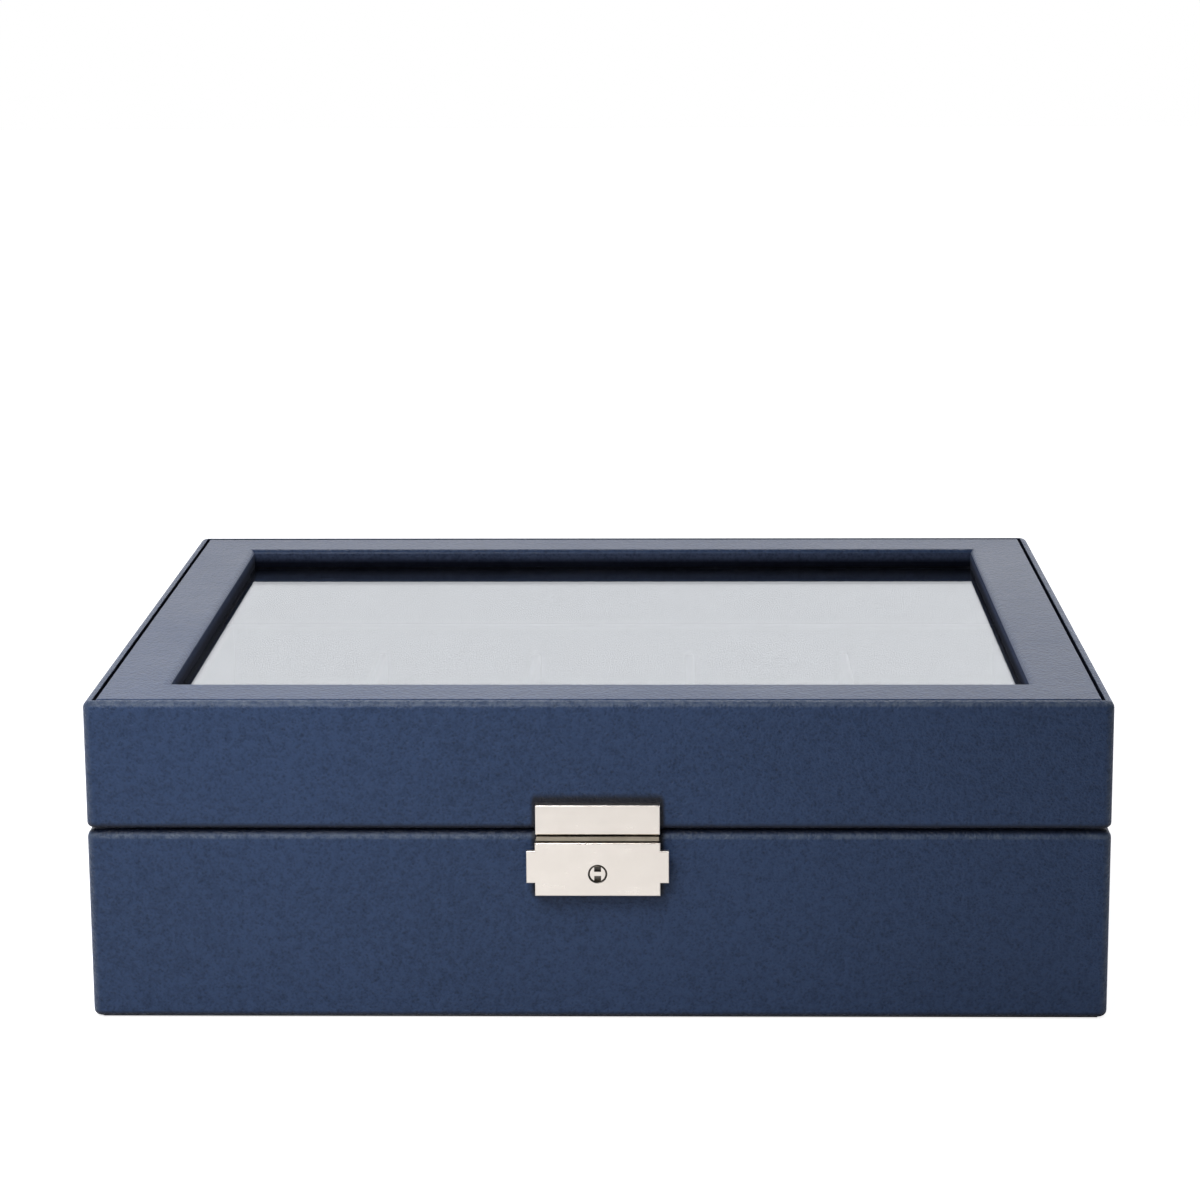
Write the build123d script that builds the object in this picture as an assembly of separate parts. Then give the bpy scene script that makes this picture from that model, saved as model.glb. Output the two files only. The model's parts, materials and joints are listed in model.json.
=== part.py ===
from build123d import *
import math
import os

# A leatherette watch box with a glazed, hinged lid and a small key lock.
# Millimetres. X is the width, -Y the front, +Z up. The origin is the middle of
# the bottom of the felt that the box rests on.

# Overall sizes
WIDTH = 285.0
DEPTH = 220.0
HEIGHT = 92.0
SEAM_Z = 55.4            # middle of the gap between base and lid
SEAM_GAP = 0.7

# Leatherette
SKIN = 0.8
CORNER_ROUND = 2.6       # upright corners
LID_TOP_ROUND = 2.0      # outer edges, from top to bottom
LID_RIM_ROUND = 1.4
BASE_RIM_ROUND = 2.3
BOTTOM_ROUND = 1.8
BOARD_ROUND = 1.0        # outer edges of the boards, under the skin
TURN_UNDER = 14.0        # how far the skin is turned under the base

# Base
FELT = 0.6
FELT_INSET = 2.5
BOTTOM_BOARD = 4.0
BASE_BOARD = 8.0
FLOOR_PAD = 1.5
COLLAR = 3.0             # velvet-covered boards that stand up into the lid
COLLAR_RISE = 6.0
COLLAR_ROUND = 1.0

# Compartments
COLUMNS = 5
ROWS = 2
DIVIDER = 3.0
DIVIDER_TOP_Z = 51.5
DIVIDER_ROUND = 1.0
CARD_PLAY = 0.1          # at card and board ends, and in the cross-laps

# Cushions
CUSHION_SIDE_PLAY = 1.4  # to the divider at each side
CUSHION_END_PLAY = 4.0   # to the wall or divider at each end
CUSHION_TOP_Z = 46.0
CUSHION_END_RADIUS = 13.0
CUSHION_DRAWN_IN = 1.6   # at its two side panels
CUSHION_CROWN = 3.0      # rise of its top from end to middle

# Lid
LID_BOARD = 6.5
LID_LINING = 0.8
LIP_BOARD = 0.8          # thin upstand outside the top frame
GROOVE = 0.8             # between the upstand and the top frame
LIP_ROUND = 0.15
FRAME_WIDTH = 21.2       # from the outer face of the lid to the window
FRAME_OUTER_ROUND = 0.8
FRAME_INNER_ROUND = 2.0
GLASS_RECESS = 5.7
GLASS = 2.5
GLASS_HIDDEN = 5.0       # how far the pane runs under the frame
GLASS_PLAY = 0.3
BEAD_HEIGHT = 6.0
BEAD_COVERS = 3.0        # how far a bead reaches under the pane
BEAD_ROUND = 1.5

# Hinges
HINGE_FROM_SIDE = 54.5   # from the side of the box to the middle of a hinge
HINGE_LENGTH = 30.0
HINGE_AXIS_OUT = 2.4     # from the back face to the pin
KNUCKLE_RADIUS = 2.0
KNUCKLES = 5
KNUCKLE_GAP = 0.2
PIN_RADIUS = 1.0
PIN_PLAY = 0.03
PIN_HEAD_RADIUS = 1.6
PIN_HEAD = 0.5
LEAF = 0.9
LEAF_REACH = 6.8         # from the back face into the seam
LEAF_PLAY = 0.2
STOP_REACH = 3.9         # from the pin to the tip of a stop bar
STOP_BAR = 0.8
LID_OPEN = 100.0         # degrees, where the two stop bars meet
STOP_SPARE = 21.5        # degrees between the bars' middles when they meet
LEAF_SCREW_X = 9.0
LEAF_SCREW_FROM_BACK = 3.9
SCREW_SHANK_RADIUS = 0.9
SCREW_HEAD_RADIUS = 1.8
SCREW_LENGTH = 8.0
SCREW_PLAY = 0.02
RECESS_WIDTH = 0.4       # cross recess in a screw head
RECESS_LENGTH = 2.0
RECESS_DEPTH = 0.5

# Lock, measured down from the seam and out from the front face
HASP_WIDTH = 34.6
HASP_ABOVE = 7.9
HASP_BELOW = 0.6
HASP_THICK = 2.6
HASP_RELIEF = 0.5        # behind the part of the plate that hangs over the base
METAL_ROUND = 0.35
HASP_RIVET_X = 12.0
HASP_RIVET_UP = 4.3
RIVET_RADIUS = 1.0
RIVET_HEAD_RADIUS = 2.0
RIVET_HEAD = 1.2
TONGUE_WIDTH = 15.0
TONGUE = 0.9
TONGUE_OUT = 0.9
TONGUE_DOWN = 16.05
TONGUE_LIP = 1.2
TONGUE_WINDOW_UP = 3.5   # above the key's axis
TONGUE_WINDOW_LEFT = 3.5
TONGUE_MOUTH = 3.0
FACE_WIDTH = 34.8
FACE_TOP = 2.45
FACE_BOTTOM = 17.75
FACE_OUT = 4.2
FACE_WALL = 1.2
FACE_SKIRT = 1.0
FACE_OFF = 0.3           # from the skirt to the leatherette
EAR_TOP = 4.7
EAR_BOTTOM = 14.05
EAR_REACH = 2.4
SLIDE_TRAVEL = 2.5
SLIDE_PLAY = 0.3
KEY_DOWN = 11.35
PLUG_RADIUS = 2.45
PLUG_PLAY = 0.05
PLUG_SUNK = 0.2
PLUG_BEVEL = 0.3
HOLE_BEVEL = 0.2
PLUG_FLANGE_RADIUS = 3.0
PLUG_FLANGE = 0.4
POST_RADIUS = 1.1
POST_OUT = 0.75          # inner end of the post
KEYWAY_WIDTH = 1.9
KEYWAY_BRIDGE = 1.2
KEYWAY_DEPTH = 1.2
CAM_LENGTH = 6.2
CAM_WIDTH = 2.4
CASE_PLATE = 0.6
CASE_LEFT = 13.4
CASE_RIGHT = 15.4
CASE_PLAY = 0.2
SHELF_HALF = 17.0        # the case's top is bent out over the face
SHELF = 1.15
SHELF_BELOW_HASP = 0.3
SHELF_OUT = 3.4
SHELF_BAR = 0.6          # in front of the tongue's slot
RAIL_FROM_X = 8.2        # the rails leave the middle free for the tongue
RAIL_HEAD = 1.3
RAIL_NECK = 0.5
RAIL_HEAD_OUT = 1.8
RIDGE_OUT = (0.9, 1.6)   # the ridges of the face run behind the rails' heads
RIDGE_LENGTH = 2.6
RIDGE_REACH = 0.85
CASE_SCREW_X = 11.0
CASE_SCREW_DOWN = (6.55, 13.25)
CASE_SCREW_RADIUS = 0.8
CASE_SCREW_HEAD_RADIUS = 1.4
CASE_SCREW_HEAD = 0.7
CASE_SCREW_LENGTH = 6.5
SPRING_DOWN = 9.85
SPRING_COIL_RADIUS = 0.8
SPRING_WIRE_RADIUS = 0.15
SPRING_TURNS = 5
SPRING_TAB = 0.8
SPRING_TAB_FROM_X = 8.3
SPRING_TAB_HEIGHT = 2.2

# Places worked out from the sizes above
HALF_W = WIDTH / 2
HALF_D = DEPTH / 2
FLOOR_Z = FELT + SKIN + BOTTOM_BOARD
PAD_Z = FLOOR_Z + FLOOR_PAD
BASE_TOP = SEAM_Z - SEAM_GAP / 2
LID_BOTTOM = SEAM_Z + SEAM_GAP / 2
BASE_BOARD_TOP = BASE_TOP - SKIN
LID_BOARD_BOTTOM = LID_BOTTOM + SKIN
BOARD_FACE = SKIN + BASE_BOARD                    # from the outer face to the base boards' inner face
LID_FACE = SKIN + LID_BOARD
LIP = 2 * SKIN + LIP_BOARD
FRAME_EDGE = LIP + GROOVE
FRAME_DEPTH = GLASS_RECESS + GLASS
LEDGE_Z = HEIGHT - FRAME_DEPTH
GLASS_EDGE = FRAME_WIDTH - GLASS_HIDDEN           # from the outer face to the pane's edge
COLLAR_FACE = BOARD_FACE + COLLAR
INNER_W = WIDTH - 2 * COLLAR_FACE
INNER_D = DEPTH - 2 * COLLAR_FACE
CELL_W = (INNER_W - (COLUMNS - 1) * DIVIDER) / COLUMNS
CELL_D = (INNER_D - (ROWS - 1) * DIVIDER) / ROWS
FRONT_Y = -HALF_D
AXIS_Y = HALF_D + HINGE_AXIS_OUT
KEY_Z = SEAM_Z - KEY_DOWN
HINGE_X = HALF_W - HINGE_FROM_SIDE
CUSHION_WIDTH = CELL_W - 2 * CUSHION_SIDE_PLAY
CUSHION_LENGTH = CELL_D - 2 * CUSHION_END_PLAY


def block(x, y, z):
    """A box between two places along each axis."""
    size = [max(pair) - min(pair) for pair in (x, y, z)]
    middle = [(pair[0] + pair[1]) / 2 for pair in (x, y, z)]
    return Pos(*middle) * Box(*size)


def both(half):
    return (-half, half)


def inset_block(inset, z):
    """A box as large as the whole watch box less an inset on each side."""
    return block(both(HALF_W - inset), both(HALF_D - inset), z)


def rounded_block(inset, z, radius):
    shape = inset_block(inset, z)
    return fillet(shape.edges().filter_by(Axis.Z), radius)


def rod(x, y, z, radius, length, axis):
    """A cylinder whose middle is at x, y, z."""
    turned = {"x": Rot(0, 90, 0), "y": Rot(90, 0, 0), "z": Rot(0, 0, 0)}[axis]
    return Pos(x, y, z) * turned * Cylinder(radius, length)


def outer_edges(shape, end):
    """The long edges round the top (-1) or bottom (0) of a shape."""
    return shape.edges().group_by(Axis.Z)[end]


def board_core(z, ends):
    """The block of wood under the skin, with its outer edges rounded at the given ends."""
    core = rounded_block(SKIN, z, CORNER_ROUND - SKIN)
    for end in ends:
        core = fillet(outer_edges(core, end), BOARD_ROUND)
    return core


def side_boards(core, depth_in, z):
    """Front, back, left and right boards cut from a core, the sides between front and back."""
    x_out, y_out = HALF_W - SKIN, HALF_D - SKIN
    x_in, y_in = HALF_W - depth_in, HALF_D - depth_in
    return {
        "front": core & block(both(x_out), (-y_out, -y_in), z),
        "back": core & block(both(x_out), (y_in, y_out), z),
        "left": core & block((-x_out, -x_in), both(y_in), z),
        "right": core & block((x_in, x_out), both(y_in), z),
    }


def strips(outer, inner, z, radius):
    """Four straight strips round a rectangle, rounded along their inner top edges, the sides between front and back."""
    x_out, y_out = HALF_W - outer, HALF_D - outer
    x_in, y_in = HALF_W - inner, HALF_D - inner
    top = max(z)
    made = {
        "front": block(both(x_out), (-y_out, -y_in), z),
        "back": block(both(x_out), (y_in, y_out), z),
        "left": block((-x_out, -x_in), both(y_in), z),
        "right": block((x_in, x_out), both(y_in), z),
    }
    for name, strip in made.items():
        along = Axis.X if name in ("front", "back") else Axis.Y
        edges = strip.edges().filter_by(along)
        edges = [e for e in edges if abs(e.center().Z - top) < 1e-6]
        made[name] = fillet(edges, radius)
    return made


# Hinges

def leaf_z(side):
    """The span of a leaf's plate, which lies on the board inside the thickness of the skin."""
    if side == "base":
        return (BASE_BOARD_TOP, BASE_BOARD_TOP + LEAF)
    return (LID_BOARD_BOTTOM - LEAF, LID_BOARD_BOTTOM)


def knuckle_spans(side, centre):
    """The spans along X of one leaf's knuckles: the base has the first, third and fifth."""
    pitch = HINGE_LENGTH / KNUCKLES
    first = 0 if side == "base" else 1
    start = centre - HINGE_LENGTH / 2
    return [
        (start + i * pitch + KNUCKLE_GAP / 2, start + (i + 1) * pitch - KNUCKLE_GAP / 2)
        for i in range(first, KNUCKLES, 2)
    ]


def axis_rod(span, radius):
    return rod((span[0] + span[1]) / 2, AXIS_Y, SEAM_Z, radius, span[1] - span[0], "x")


def stop_bar(side, centre):
    """A flat bar behind the pin. The lid's bar comes down on the base's bar when the lid is open."""
    lean = (LID_OPEN + STOP_SPARE) / 2
    angle = -lean if side == "base" else lean
    inner = KNUCKLE_RADIUS - LEAF_PLAY
    bar = Pos(0, (inner + STOP_REACH) / 2, 0) * Box(HINGE_LENGTH, STOP_REACH - inner, STOP_BAR)
    return Pos(centre, AXIS_Y, SEAM_Z) * Rot(angle, 0, 0) * bar


def hinge_leaf(side, centre):
    other = "lid" if side == "base" else "base"
    plate = block(
        (centre - HINGE_LENGTH / 2, centre + HINGE_LENGTH / 2),
        (HALF_D - LEAF_REACH, AXIS_Y),
        leaf_z(side),
    )
    leaf = plate + stop_bar(side, centre)
    for low, high in knuckle_spans(other, centre):
        leaf -= axis_rod((low - KNUCKLE_GAP, high + KNUCKLE_GAP), KNUCKLE_RADIUS + LEAF_PLAY)
    for span in knuckle_spans(side, centre):
        leaf += axis_rod(span, KNUCKLE_RADIUS)
    leaf -= axis_rod((centre - HINGE_LENGTH, centre + HINGE_LENGTH), PIN_RADIUS + PIN_PLAY)
    for x in leaf_screw_places(centre):
        leaf -= leaf_screw(side, x, SCREW_PLAY, False)
    return leaf


def hinge_pin(centre):
    half = HINGE_LENGTH / 2
    pin = axis_rod((centre - half, centre + half), PIN_RADIUS)
    for low in (centre - half - PIN_HEAD, centre + half):
        pin += axis_rod((low, low + PIN_HEAD), PIN_HEAD_RADIUS)
    return pin


def leaf_screw_places(centre):
    return (centre - LEAF_SCREW_X, centre + LEAF_SCREW_X)


def leaf_screw(side, x, play, with_recess=True):
    """A countersunk screw, its head flush with the leaf's face. With play and no recess it is the hole."""
    cone = LEAF
    body = Pos(0, 0, -cone / 2) * Cone(SCREW_SHANK_RADIUS + play, SCREW_HEAD_RADIUS + play, cone)
    shank = SCREW_LENGTH - cone
    body += Pos(0, 0, -cone - shank / 2) * Cylinder(SCREW_SHANK_RADIUS + play, shank + play)
    if with_recess:
        for size in ((RECESS_LENGTH, RECESS_WIDTH), (RECESS_WIDTH, RECESS_LENGTH)):
            body -= Pos(0, 0, -RECESS_DEPTH / 2) * Box(*size, RECESS_DEPTH)
    y = HALF_D - LEAF_SCREW_FROM_BACK
    if side == "base":
        return Pos(x, y, max(leaf_z(side))) * body
    return Pos(x, y, min(leaf_z(side))) * Rot(180, 0, 0) * body


def all_leaf_screws(side, play=0.0, with_recess=True):
    return [
        leaf_screw(side, x, play, with_recess)
        for centre in both(HINGE_X)
        for x in leaf_screw_places(centre)
    ]


def leaf_pockets(side):
    """Room for both leaves in the rim of one half, open to the seam and to the back."""
    low, high = leaf_z(side)
    z = (low, SEAM_Z) if side == "base" else (SEAM_Z, high)
    half = HINGE_LENGTH / 2 + LEAF_PLAY
    y = (HALF_D - LEAF_REACH - LEAF_PLAY, AXIS_Y)
    return [block((c - half, c + half), y, z) for c in both(HINGE_X)]


# Lock

def out(*distances):
    """Places along Y, measured out from the front face."""
    return tuple(FRONT_Y - d for d in distances)


def down(*distances):
    """Places along Z, measured down from the seam."""
    return tuple(SEAM_Z - d for d in distances)


def hasp_rivet(x, play):
    """A rivet through the lid's front board, its head sunk in the board's inner face."""
    z = SEAM_Z + HASP_RIVET_UP
    length = LID_FACE - RIVET_HEAD
    shank = rod(x, FRONT_Y + length / 2, z, RIVET_RADIUS + play, length, "y")
    head_y = FRONT_Y + LID_FACE - RIVET_HEAD / 2
    return shank + rod(x, head_y, z, RIVET_HEAD_RADIUS + play, RIVET_HEAD, "y")


def case_screw(x, distance_down, play):
    z = SEAM_Z - distance_down
    length = CASE_PLATE + CASE_SCREW_LENGTH
    shank = rod(x, FRONT_Y + length / 2 - CASE_PLATE, z, CASE_SCREW_RADIUS + play, length, "y")
    return shank


def case_screws(play=0.0, with_head=True):
    made = []
    for x in both(CASE_SCREW_X):
        for distance in CASE_SCREW_DOWN:
            screw = case_screw(x, distance, play)
            if with_head:
                y = FRONT_Y - CASE_PLATE - CASE_SCREW_HEAD / 2
                head = rod(x, y, SEAM_Z - distance, CASE_SCREW_HEAD_RADIUS, CASE_SCREW_HEAD, "y")
                recess_y = out(CASE_PLATE + CASE_SCREW_HEAD - RECESS_DEPTH, CASE_PLATE + CASE_SCREW_HEAD)
                half = RECESS_WIDTH / 2
                z = SEAM_Z - distance
                head -= block((x - half, x + half), recess_y, (z - RECESS_LENGTH / 2, z + RECESS_LENGTH / 2))
                screw += head
            made.append(screw)
    return made


def hasp():
    """The lid's plate and, behind it, the tongue that drops into the lock around the key's cam."""
    half = HASP_WIDTH / 2
    plate = block(both(half), out(0, HASP_THICK), down(-HASP_ABOVE, HASP_BELOW))
    front = plate.edges().group_by(Axis.Y)[0]
    plate = fillet(front, METAL_ROUND)
    plate -= block(both(half), out(0, HASP_RELIEF), down(-SEAM_GAP, HASP_BELOW))
    y = out(TONGUE_OUT, TONGUE_OUT + TONGUE)
    tongue = block(both(TONGUE_WIDTH / 2), y, down(0, TONGUE_DOWN))
    window_right = CAM_LENGTH / 2 + SLIDE_TRAVEL + SLIDE_PLAY + PLUG_PLAY
    window_bottom = TONGUE_DOWN - TONGUE_LIP
    window = block(
        (-TONGUE_WINDOW_LEFT, window_right), y, down(KEY_DOWN - TONGUE_WINDOW_UP, window_bottom)
    )
    mouth = block(both(TONGUE_MOUTH / 2), y, down(window_bottom, TONGUE_DOWN))
    return plate + (tongue - window - mouth)


def lock_face():
    """The sliding face: a shallow pan with two ears, held on the case by ridges behind the rails."""
    half = FACE_WIDTH / 2
    z = down(FACE_BOTTOM, FACE_TOP)
    wall = FACE_OUT - FACE_WALL
    front = block(both(half), out(wall, FACE_OUT), z)
    front += block(both(half + EAR_REACH), out(wall, FACE_OUT), down(EAR_BOTTOM, EAR_TOP))
    front = fillet(front.edges().group_by(Axis.Y)[0], METAL_ROUND)
    skirt_y = out(FACE_OFF, wall)
    skirt = block(both(half), skirt_y, z)
    skirt -= block(
        both(half - FACE_SKIRT), skirt_y, down(FACE_BOTTOM - FACE_SKIRT, FACE_TOP + FACE_SKIRT)
    )
    slot_half = TONGUE_WIDTH / 2 + SLIDE_TRAVEL + SLIDE_PLAY
    slot_out = wall - FACE_OFF + PLUG_PLAY
    skirt -= block(both(slot_half), out(FACE_OFF, slot_out), down(FACE_TOP, FACE_TOP + FACE_SKIRT))
    top_flange = down(FACE_TOP, FACE_TOP + FACE_SKIRT)
    skirt -= block(both(half - FACE_SKIRT), out(FACE_OFF, CASE_PLATE + CASE_PLAY), top_flange)
    face = front + skirt
    ridge_from = slot_half + SLIDE_PLAY
    for x in ((-ridge_from - RIDGE_LENGTH, -ridge_from), (ridge_from, ridge_from + RIDGE_LENGTH)):
        top = FACE_TOP + FACE_SKIRT
        bottom = FACE_BOTTOM - FACE_SKIRT
        face += block(x, out(*RIDGE_OUT), down(top, top + RIDGE_REACH))
        face += block(x, out(*RIDGE_OUT), down(bottom - RIDGE_REACH, bottom))
    tab_x = (SPRING_TAB_FROM_X, SPRING_TAB_FROM_X + SPRING_TAB)
    tab_z = down(SPRING_DOWN - SPRING_TAB_HEIGHT / 2, SPRING_DOWN + SPRING_TAB_HEIGHT / 2)
    face += block(tab_x, out(TONGUE_OUT, wall), tab_z)
    face -= rod(0, FRONT_Y - FACE_OUT, KEY_Z, PLUG_RADIUS + PLUG_PLAY, 4 * FACE_WALL, "y")
    rim = [e for e in face.edges().filter_by(GeomType.CIRCLE) if abs(e.center().Y - out(FACE_OUT)[0]) < 1e-6]
    return chamfer(rim, HOLE_BEVEL)


def lock_case():
    """The fixed plate under the face, with a rail above and below for the ridges and a stop for the spring."""
    top = FACE_TOP + FACE_SKIRT + SLIDE_PLAY
    bottom = FACE_BOTTOM - FACE_SKIRT - SLIDE_PLAY
    shelf_z = down(HASP_BELOW + SHELF_BELOW_HASP, HASP_BELOW + SHELF_BELOW_HASP + SHELF)
    case = block((-CASE_LEFT, CASE_RIGHT), out(0, CASE_PLATE), (max(shelf_z), SEAM_Z - bottom))
    case += block(both(SHELF_HALF), out(0, SHELF_OUT), shelf_z)
    slot = out(CASE_PLATE, SHELF_OUT - SHELF_BAR)
    case -= block(both(TONGUE_WIDTH / 2 + SLIDE_PLAY), slot, shelf_z)
    head_y = out(RAIL_HEAD_OUT, FACE_OUT - FACE_WALL - SLIDE_PLAY)
    neck_y = out(CASE_PLATE, FACE_OUT - FACE_WALL - SLIDE_PLAY)
    for x in ((-CASE_LEFT, -RAIL_FROM_X), (RAIL_FROM_X, CASE_LEFT)):
        case += block(x, head_y, down(top, top + RAIL_HEAD))
        case += block(x, neck_y, down(top + RAIL_HEAD - RAIL_NECK, top + RAIL_HEAD))
        case += block(x, head_y, down(bottom - RAIL_HEAD, bottom))
        case += block(x, neck_y, down(bottom - RAIL_HEAD, bottom - RAIL_HEAD + RAIL_NECK))
    stop_z = down(SPRING_DOWN - SPRING_TAB_HEIGHT / 2, SPRING_DOWN + SPRING_TAB_HEIGHT / 2)
    case += block((CASE_RIGHT - SPRING_TAB, CASE_RIGHT), neck_y, stop_z)
    for x in both(CASE_SCREW_X):
        for distance in CASE_SCREW_DOWN:
            case -= case_screw(x, distance, SCREW_PLAY)
    return case


def lock_spring():
    """A small coil between the tab of the face and the stop of the case."""
    ends = SPRING_WIRE_RADIUS + SCREW_PLAY
    low = SPRING_TAB_FROM_X + SPRING_TAB + ends
    high = CASE_RIGHT - SPRING_TAB - ends
    path = Helix((high - low) / SPRING_TURNS, high - low, SPRING_COIL_RADIUS)
    wire = sweep(
        Plane(origin=path @ 0, z_dir=path % 0) * Circle(SPRING_WIRE_RADIUS), path=path, is_frenet=True
    )
    middle = (CASE_PLATE + FACE_OUT - FACE_WALL) / 2
    return Pos(low, FRONT_Y - middle, SEAM_Z - SPRING_DOWN) * Rot(0, 90, 0) * wire


def key_cylinder():
    """The round plug in the face, with its keyway and the post that carries the cam."""
    wall = FACE_OUT - FACE_WALL
    flange_out = (wall - PLUG_PLAY - PLUG_FLANGE, wall - PLUG_PLAY)
    head_out = (flange_out[1], FACE_OUT - PLUG_SUNK)
    post_out = (POST_OUT, flange_out[0])
    plug = None
    for span, radius in (
        (head_out, PLUG_RADIUS), (flange_out, PLUG_FLANGE_RADIUS), (post_out, POST_RADIUS)
    ):
        middle = FRONT_Y - (span[0] + span[1]) / 2
        part = rod(0, middle, KEY_Z, radius, span[1] - span[0], "y")
        if plug is None:
            plug = chamfer(part.edges().filter_by(GeomType.CIRCLE).sort_by(Axis.Y)[0], PLUG_BEVEL)
        else:
            plug += part
    keyway_y = out(head_out[1] - KEYWAY_DEPTH, head_out[1])
    for sign in (-1, 1):
        low, high = KEYWAY_BRIDGE / 2, PLUG_RADIUS - PLUG_BEVEL
        z = (KEY_Z + sign * low, KEY_Z + sign * high)
        plug -= block(both(KEYWAY_WIDTH / 2), keyway_y, z)
    return plug


def lock_cam():
    """The bar that fills the tongue's mouth sideways when the key is turned."""
    y = out(TONGUE_OUT, TONGUE_OUT + TONGUE)
    bar = block(both(CAM_WIDTH / 2), y, (KEY_Z - CAM_LENGTH / 2, KEY_Z + CAM_LENGTH / 2))
    bar = fillet(bar.edges().filter_by(Axis.Y), CAM_WIDTH / 3)
    return bar - rod(0, FRONT_Y, KEY_Z, POST_RADIUS, 4 * FACE_OUT, "y")


# Base

def base_boards():
    z = (FLOOR_Z, BASE_BOARD_TOP)
    boards = side_boards(board_core(z, (-1,)), BOARD_FACE, z)
    for hole in all_leaf_screws("base", SCREW_PLAY, False):
        boards["back"] -= hole
    for hole in case_screws(SCREW_PLAY, False):
        boards["front"] -= hole
    made = {f"base_{name}_board": board for name, board in boards.items()}
    made["base_bottom_board"] = board_core((FLOOR_Z - BOTTOM_BOARD, FLOOR_Z), (0,))
    return made


def base_cover():
    """The leatherette of the base: outside, over the rim and turned under the bottom."""
    shell = rounded_block(0, (FELT, BASE_TOP), CORNER_ROUND)
    shell = fillet(outer_edges(shell, -1), BASE_RIM_ROUND)
    shell = fillet(outer_edges(shell, 0), BOTTOM_ROUND)
    shell -= board_core((FELT + SKIN, BASE_BOARD_TOP), (0, -1))
    shell -= inset_block(BOARD_FACE, (FLOOR_Z, SEAM_Z))
    shell -= inset_block(SKIN + TURN_UNDER, (0, FLOOR_Z))
    for pocket in leaf_pockets("base"):
        shell -= pocket
    for hole in case_screws(SCREW_PLAY, False):
        shell -= hole
    return shell


def base_felt():
    """The felt under the box, with the padding that fills the frame of turned-under skin."""
    felt = inset_block(FELT_INSET, (0, FELT))
    return felt + inset_block(SKIN + TURN_UNDER + CARD_PLAY, (FELT, FELT + SKIN))


def collar_boards():
    z = (FLOOR_Z, SEAM_Z + COLLAR_RISE)
    made = strips(BOARD_FACE, COLLAR_FACE, z, COLLAR_ROUND)
    return {f"collar_{name}": board for name, board in made.items()}


def floor_pad():
    return inset_block(COLLAR_FACE + CARD_PLAY, (FLOOR_Z, PAD_Z))


def short_divider_places():
    start = -INNER_W / 2 + CELL_W + DIVIDER / 2
    return [start + i * (CELL_W + DIVIDER) for i in range(COLUMNS - 1)]


def cell_centres():
    """The middle of each compartment, left to right, the front row first."""
    xs = [-INNER_W / 2 + CELL_W / 2 + i * (CELL_W + DIVIDER) for i in range(COLUMNS)]
    ys = [-INNER_D / 2 + CELL_D / 2 + j * (CELL_D + DIVIDER) for j in range(ROWS)]
    return [(x, y) for y in ys for x in xs]


def rounded_top(board, along):
    top = board.edges().filter_by(along).group_by(Axis.Z)[-1]
    return fillet(top, DIVIDER_ROUND)


def dividers():
    """One long card and four short ones, halved over each other."""
    middle = (PAD_Z + DIVIDER_TOP_Z) / 2
    half = DIVIDER / 2
    z = (PAD_Z, DIVIDER_TOP_Z)
    long_card = block(both(INNER_W / 2 - CARD_PLAY), both(half), z)
    long_card = rounded_top(long_card, Axis.X)
    made = {}
    for number, x in enumerate(short_divider_places(), 1):
        slot = (x - half - CARD_PLAY, x + half + CARD_PLAY)
        long_card -= block(slot, both(half), (middle, DIVIDER_TOP_Z))
        card = block((x - half, x + half), both(INNER_D / 2 - CARD_PLAY), z)
        card = rounded_top(card, Axis.Y)
        card -= block((x - half, x + half), both(half + CARD_PLAY), (PAD_Z, middle))
        made[f"short_divider_{number}"] = card
    made["long_divider"] = long_card
    return made


def cushion_section(x, drawn_in, y, z_low):
    """One outline across a cushion: flat underneath, round at front and back, crowned on top."""
    half = CUSHION_LENGTH / 2 - drawn_in
    shoulder_z = CUSHION_TOP_Z - CUSHION_CROWN - drawn_in
    top_z = CUSHION_TOP_Z - drawn_in
    flat = half - CUSHION_END_RADIUS / 2
    middle_z = (z_low + shoulder_z) / 2
    with BuildSketch(Plane.YZ.offset(x)) as sketch:
        with BuildLine():
            Line((y - flat, z_low), (y + flat, z_low))
            ThreePointArc((y + flat, z_low), (y + half, middle_z), (y + flat, shoulder_z))
            ThreePointArc((y + flat, shoulder_z), (y, top_z), (y - flat, shoulder_z))
            ThreePointArc((y - flat, shoulder_z), (y - half, middle_z), (y - flat, z_low))
        make_face()
    return sketch.sketch


def cushion(centre):
    """A stuffed loaf for a watch strap, fullest at the middle and drawn in at its two side panels."""
    x, y = centre
    half = CUSHION_WIDTH / 2
    stations = ((-1.0, 1.0), (-0.6, 0.25), (0.0, 0.0), (0.6, 0.25), (1.0, 1.0))
    sections = [
        cushion_section(x + share * half, drawn * CUSHION_DRAWN_IN, y, PAD_Z)
        for share, drawn in stations
    ]
    return loft(sections)


# Lid

def lid_boards():
    z = (LID_BOARD_BOTTOM, HEIGHT - SKIN)
    core = board_core(z, (0, -1)) - inset_block(SKIN + LIP_BOARD, (LEDGE_Z, HEIGHT))
    boards = side_boards(core, LID_FACE, z)
    for hole in all_leaf_screws("lid", SCREW_PLAY, False):
        boards["back"] -= hole
    for x in both(HASP_RIVET_X):
        boards["front"] -= hasp_rivet(x, SCREW_PLAY)
    return {f"lid_{name}_board": board for name, board in boards.items()}


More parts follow.
